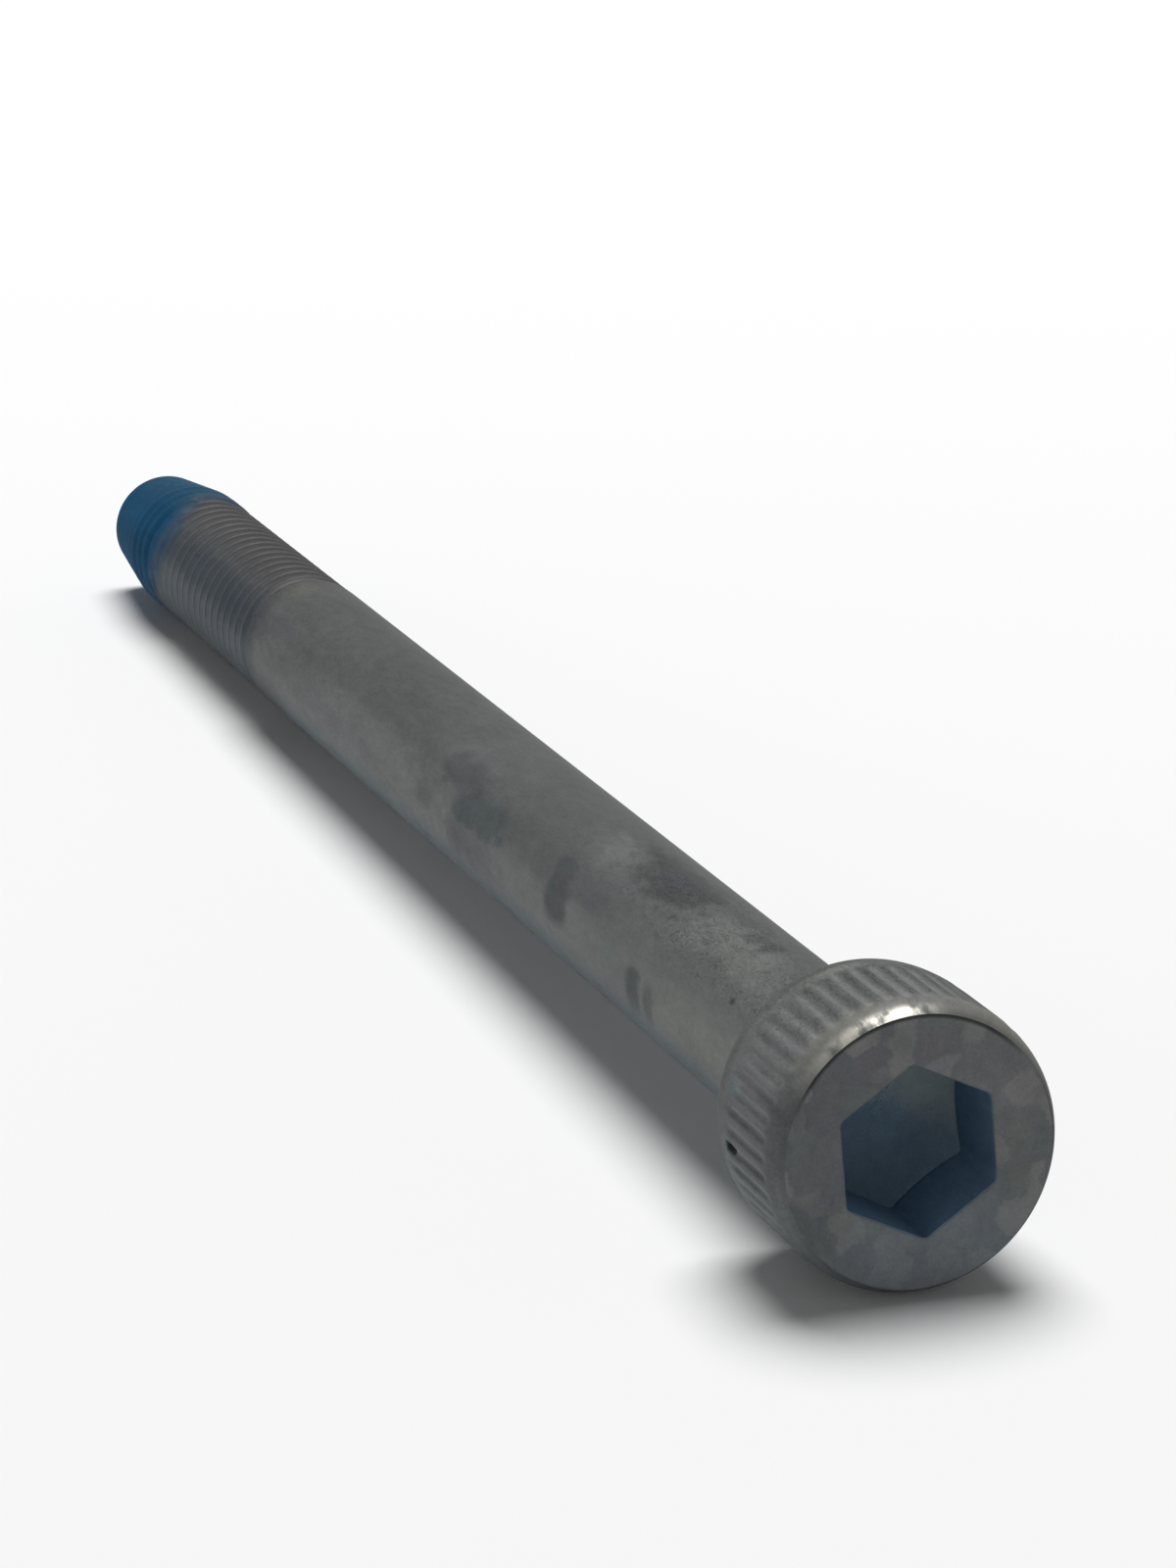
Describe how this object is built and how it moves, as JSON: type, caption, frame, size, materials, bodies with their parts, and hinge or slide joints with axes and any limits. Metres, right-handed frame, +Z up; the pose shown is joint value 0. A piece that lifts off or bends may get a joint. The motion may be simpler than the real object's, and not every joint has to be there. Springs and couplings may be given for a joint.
{
  "type": "socket head cap screw",
  "caption": "Long socket head cap screw: knurled head with a hexagonal socket, plain shank, threaded end and a blue locking coat over its point.",
  "frame": {"origin": "middle of the bearing face under the head, on the screw's axis", "axes": "the screw lies on a floor: +X runs from the head to the point, +Z is up, and the screw's own axis dips 1.313 degrees towards the point"},
  "size_m": [0.0962, 0.0098, 0.0099],
  "materials": {
    "zinc_flake_steel": "matte mottled grey zinc flake coat on steel, with a soft blue locking coat over the last 8 mm"
  },
  "bodies": {
    "root": {"cap_screw": "zinc_flake_steel"}
  },
  "joints": []
}
